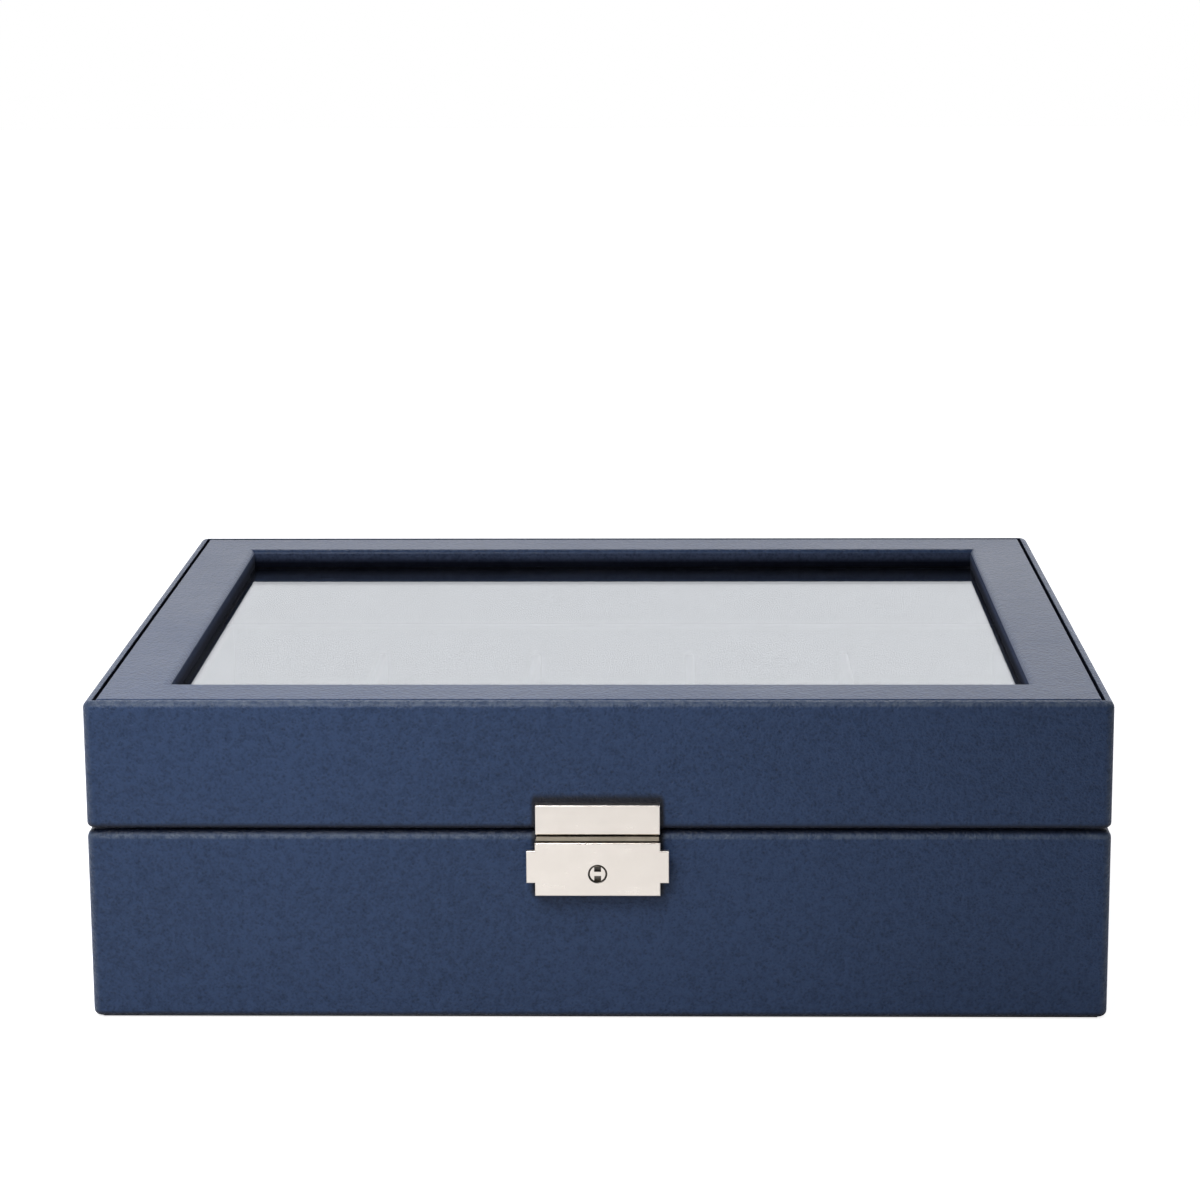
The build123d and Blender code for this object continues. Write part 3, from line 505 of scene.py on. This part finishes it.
def finish_cushion(mesh, pins, name):
    """One subdivision with the seams kept sharp, and smooth shading."""
    bm = bmesh.new()
    bm.from_mesh(mesh)
    bm.verts.ensure_lookup_table()
    crease = bm.edges.layers.float.new("crease_edge")
    for loop in pins:
        for i, j in zip(loop, loop[1:] + loop[:1]):
            bm.edges.get((bm.verts[i], bm.verts[j]))[crease] = 0.9
    for face in bm.faces:
        face.smooth = True
    made = bpy.data.meshes.new(name)
    bm.to_mesh(made)
    bm.free()
    obj = bpy.data.objects.new(name, made)
    bpy.context.scene.collection.objects.link(obj)
    smooth = obj.modifiers.new("smooth", "SUBSURF")
    smooth.levels = smooth.render_levels = 1
    shaped = bpy.data.meshes.new_from_object(obj.evaluated_get(bpy.context.evaluated_depsgraph_get()))
    bpy.data.objects.remove(obj)
    shaped.name = name
    return shaped


def add(name, mesh, material, body):
    mesh.materials.clear()
    mesh.materials.append(material)
    for polygon in mesh.polygons:
        polygon.use_smooth = True
    obj = bpy.data.objects.new(name, mesh)
    bpy.context.scene.collection.objects.link(obj)
    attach(obj, body)
    return obj


def cushions():
    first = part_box("watch_cushion_1")
    kinds = []
    for seed in KIND_SEEDS:
        mesh, pins = stuffed(first, seed)
        kinds.append(finish_cushion(mesh, pins, "cushion_kind"))
    for number in range(1, 11):
        node = "watch_cushion_%d" % number
        low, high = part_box(node)
        mesh = kinds[number % len(kinds)].copy()
        flip = -1 if number % 2 else 1
        turn = -1 if number in TURNED else 1
        mesh.transform(Matrix.Diagonal((flip, turn, 1, 1)))
        if flip * turn < 0:
            mesh.flip_normals()
        mesh.transform(Matrix.Translation(((low[0] + high[0]) / 2, (low[1] + high[1]) / 2, low[2])))
        obj = add("cushion_%d" % number, mesh, VELVET, "base")
        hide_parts(node)


# The lock's spring: a wire coil in the place of the CAD part

WIRE = 0.15 * MM            # half the thickness of the spring's wire
COIL_TURNS, TURN_POINTS = 5, 20


def spring():
    low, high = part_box("lock_spring")
    middle = [(a + b) / 2 for a, b in zip(low, high)]
    radius = (high[2] - low[2]) / 2 - WIRE
    start, end = low[0] + WIRE, high[0] - WIRE
    curve = bpy.data.curves.new("coil", "CURVE")
    curve.dimensions = "3D"
    curve.bevel_depth = WIRE
    curve.bevel_resolution = 2
    count = COIL_TURNS * TURN_POINTS
    line = curve.splines.new("POLY")
    line.points.add(count)
    for i, point in enumerate(line.points):
        turn = math.tau * COIL_TURNS * i / count
        point.co = (start + (end - start) * i / count, middle[1] + radius * math.cos(turn),
                    middle[2] + radius * math.sin(turn), 1)
    shape = bpy.data.objects.new("coil", curve)
    bpy.context.scene.collection.objects.link(shape)
    mesh = bpy.data.meshes.new_from_object(shape.evaluated_get(bpy.context.evaluated_depsgraph_get()))
    bpy.data.objects.remove(shape)
    obj = add("coil_spring", mesh, STEEL, "base")
    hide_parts("lock_spring")
    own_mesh(obj)


cushions()
spring()

# Second materials, on some faces of a node. Heights and distances in mm

STEEP, UPRIGHT = 0.5, 0.4           # a wall's normal has less along Z than this
TONGUE_HALF = 7.6                   # half the width of the hasp's tongue, with a little room
FLANGE_DEPTH = 1.0                  # of the lock case's upper edge
WALL_START = 1.1                    # below the frame's top, past its rounded inner edge
GROOVE_START, LIP_START = 0.4, 0.2  # below the frame's and the lip's top, where the groove begins
GROOVE_DEPTH = 6.0                  # below the lip's top, where the groove has ended
OUTER_SIDE = 0.3                    # from the frame's outline, within which a face is an outer side
KEY_ZONE, SLOT_ZONE = 2.8, 2.0      # round the key's axis: the rim of its hole, and its slot
RECESS_START = 0.02                 # behind the key's front
CASE_TOP, FRAME_TOP, LID_TOP = (corners[1][2] / MM for corners in (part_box("lock_case"), FRAME_BOX, LID_BOX))
KEY_LOW, KEY_HIGH = (Vector(corner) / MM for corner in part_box("key_cylinder"))
KEY_MIDDLE, KEY_FRONT = (KEY_LOW + KEY_HIGH) / 2, KEY_LOW.y


def looks_in(middle, normal):
    """Whether a face looks towards the middle of the box."""
    return normal.x * middle.x + normal.y * middle.y < 0


def off_axis(middle):
    """How far a point is from the key's axis."""
    return math.hypot(middle.x - KEY_MIDDLE.x, middle.z - KEY_MIDDLE.z)


def past_outline(middle):
    """How far out of the frame's outline a point is."""
    return max(abs(middle.x) - FRAME_BOX[1][0] / MM, abs(middle.y) - FRAME_BOX[1][1] / MM)


# painted shade on the hasp's tongue, behind the lock case
paint_where("hasp", SHADE, lambda middle, normal: middle.z < CASE_TOP and abs(middle.x) < TONGUE_HALF)
# painted shade on the lock case's upper edge, under the hasp
paint_where("lock_case", OLIVE, lambda middle, normal: middle.z > CASE_TOP - FLANGE_DEPTH)
# painted shade on the window's inner walls
paint_where("frame_cover", WALL_SHADED_NAVY, lambda middle, normal: middle.z < FRAME_TOP - WALL_START
            and abs(normal.z) < STEEP and looks_in(middle, normal))
# painted shade in the groove, on the frame's outer side
paint_where("frame_cover", GROOVE_SHADE_NAVY, lambda middle, normal: middle.z < FRAME_TOP - GROOVE_START
            and abs(normal.z) < UPRIGHT and past_outline(middle) > -OUTER_SIDE)
# painted shade in the groove, on the lip's inner side
paint_where("lid_cover", GROOVE_SHADE_NAVY, lambda middle, normal: LID_TOP - GROOVE_DEPTH < middle.z < LID_TOP - LIP_START
            and abs(normal.z) < UPRIGHT and looks_in(middle, normal))
for side in ("front", "back", "left", "right"):
    paint_where("frame_%s_rail" % side, INNER, lambda middle, normal: normal.z < -STEEP)
# painted shade round the key, behind its front
paint_where("key_cylinder", OLIVE, lambda middle, normal: middle.y > KEY_FRONT + RECESS_START)
# painted shade in the key's slot
paint_where("key_cylinder", SHADE, lambda middle, normal: middle.y > KEY_FRONT + RECESS_START
            and off_axis(middle) < SLOT_ZONE)
# painted shade round the key's hole in the lock's face
paint_where("lock_face", SHADE, lambda middle, normal: off_axis(middle) < KEY_ZONE and abs(normal.y) < 0.95)


# Studio

def plane(name, corners, material):
    mesh = bpy.data.meshes.new(name)
    mesh.from_pydata(corners, [], [(0, 1, 2, 3)])
    mesh.materials.append(material)
    obj = bpy.data.objects.new(name, mesh)
    bpy.context.scene.collection.objects.link(obj)


def floor_material():
    """White ground. The camera sees it lifted to plain white, and only the deepest shadow stays.

    The lift is a little less near the box. What metal mirrors of the ground has a painted shadow: it is dark close
    to the box's sides.
    """
    m = Shader("white_ground")
    m.set(Base_Color=(0.82, 0.82, 0.82, 1), Roughness=0.9, Specular_IOR_Level=0.0, Emission_Color=(1, 1, 1, 1))
    away = m.math("SQRT", m.math("ADD", m.math("MULTIPLY", m.split[0], m.split[0]),
                                 m.math("MULTIPLY", m.split[1], m.split[1])))
    seen = m.math("MULTIPLY", m.rays("Is Camera Ray", "Is Transmission Ray"), m.ramp(away, 0.25, 0.8, 0.84, 1.0))
    beside = m.math("MAXIMUM", m.math("SUBTRACT", m.math("ABSOLUTE", m.split[0]), BASE_BOX[1][0]),
                    m.math("SUBTRACT", m.math("ABSOLUTE", m.split[1]), -BASE_BOX[0][1]))
    # painted shadow close to the box, in what is mirrored of the ground
    mirrored = m.math("MULTIPLY", m.rays("Is Glossy Ray"), m.ramp(beside, 0.0, 0.035, 0.02, 0.38))
    m.link(m.math("MAXIMUM", seen, mirrored), m.surface.inputs["Emission Strength"])
    return m.material


def softbox_material(low, high, z_low, z_high):
    """A lit screen behind the object, brighter towards its top, plain white to the camera."""
    material = bpy.data.materials.new("softbox")
    material.use_nodes = True
    material.node_tree.nodes.clear()
    m = Nodes(material.node_tree)
    camera_ray = m.rays("Is Camera Ray")
    glow = m.tree.nodes.new("ShaderNodeEmission")
    m.link(m.mix(camera_ray, (0.975, 1.0, 1.05), (1, 1, 1)), glow.inputs["Color"])
    m.link(m.between(camera_ray, m.ramp(m.split[2], z_low, z_high, low, high), 1.0), glow.inputs["Strength"])
    out = m.tree.nodes.new("ShaderNodeOutputMaterial")
    m.link(glow.outputs[0], out.inputs["Surface"])
    return material


def world(left, right, rear):
    """Soft room light, stronger from behind and from the left.

    Seen, or mirrored from low behind, it is plain white. What is mirrored from high up is dimmer.
    """
    made = bpy.data.worlds.new("studio")
    bpy.context.scene.world = made
    made.use_nodes = True
    m = Nodes(made.node_tree, "Generated")
    background = m.tree.nodes["Background"]
    background.inputs["Color"].default_value = (1, 1, 1, 1)
    ambient = m.ramp(m.split[0], -1.0, 1.0, left, right)
    mirrored = m.between(m.ramp(m.split[1], -0.5, 0.4), ambient, m.ramp(m.split[2], 0.5, 0.8, 1.0, 0.16))
    ambient = m.between(m.ramp(m.split[1], 0.0, 0.5), ambient, rear)
    level = m.between(m.rays("Is Glossy Ray"), ambient, mirrored)
    level = m.between(m.rays("Is Camera Ray", "Is Transmission Ray"), level, 1.0)
    m.link(level, background.inputs["Strength"])


def area_light(name, place, target, size, watts, spread=180):
    data = bpy.data.lights.new(name, "AREA")
    data.shape = "RECTANGLE"
    data.size, data.size_y = size
    data.energy = watts
    data.spread = math.radians(spread)
    lamp = bpy.data.objects.new(name, data)
    lamp.location = place
    lamp.rotation_euler = (Vector(target) - Vector(place)).to_track_quat("-Z", "Y").to_euler()
    lamp.visible_camera = False
    lamp.visible_transmission = False
    bpy.context.scene.collection.objects.link(lamp)


# Fitted to the photo's outlines
CAMERA_PLACE = (22.05, -926.13, 310.97)     # mm
CAMERA_TURN = (10.8619, -1.0056, -0.2563)   # pitch, yaw and roll, in degrees
CAMERA_LENS, CAMERA_SHIFT = 91.879, (-0.02, -0.10)


def camera():
    pitch, yaw, roll = (math.radians(angle) for angle in CAMERA_TURN)
    ahead = Vector((math.sin(yaw) * math.cos(pitch), math.cos(yaw) * math.cos(pitch), -math.sin(pitch)))
    right = Vector((math.cos(yaw), -math.sin(yaw), 0))
    up = right.cross(ahead)
    side = right * math.cos(roll) + up * math.sin(roll)
    top = up * math.cos(roll) - right * math.sin(roll)
    data = bpy.data.cameras.new("camera")
    data.sensor_width = 36.0
    data.lens = CAMERA_LENS
    data.shift_x, data.shift_y = CAMERA_SHIFT
    data.clip_end = 50
    obj = bpy.data.objects.new("camera", data)
    place = Vector(CAMERA_PLACE) * MM
    axes = Matrix((side, top, -ahead)).transposed()
    obj.matrix_world = Matrix.Translation(place) @ axes.to_4x4()
    bpy.context.scene.collection.objects.link(obj)
    bpy.context.scene.camera = obj


plane("ground", [(-6, -6, 0), (6, -6, 0), (6, 6, 0), (-6, 6, 0)], floor_material())
plane("softbox", [(-1.3, 1.6, 0.12), (1.3, 1.6, 0.12), (1.3, 1.6, 1.7), (-1.3, 1.6, 1.7)],
      softbox_material(low=1.27, high=1.80, z_low=0.40, z_high=0.66))
world(left=0.10, right=0.05, rear=0.60)
area_light("key", place=(-0.12, -0.38, 0.38), target=(-0.10, -0.11, 0.05), size=(0.2, 0.2), watts=0.70, spread=120)
area_light("top", place=(-0.35, -0.25, 0.75), target=(-0.05, -0.10, 0.06), size=(0.25, 0.25), watts=1.2)
camera()
bpy.context.scene.view_settings.view_transform = "Standard"
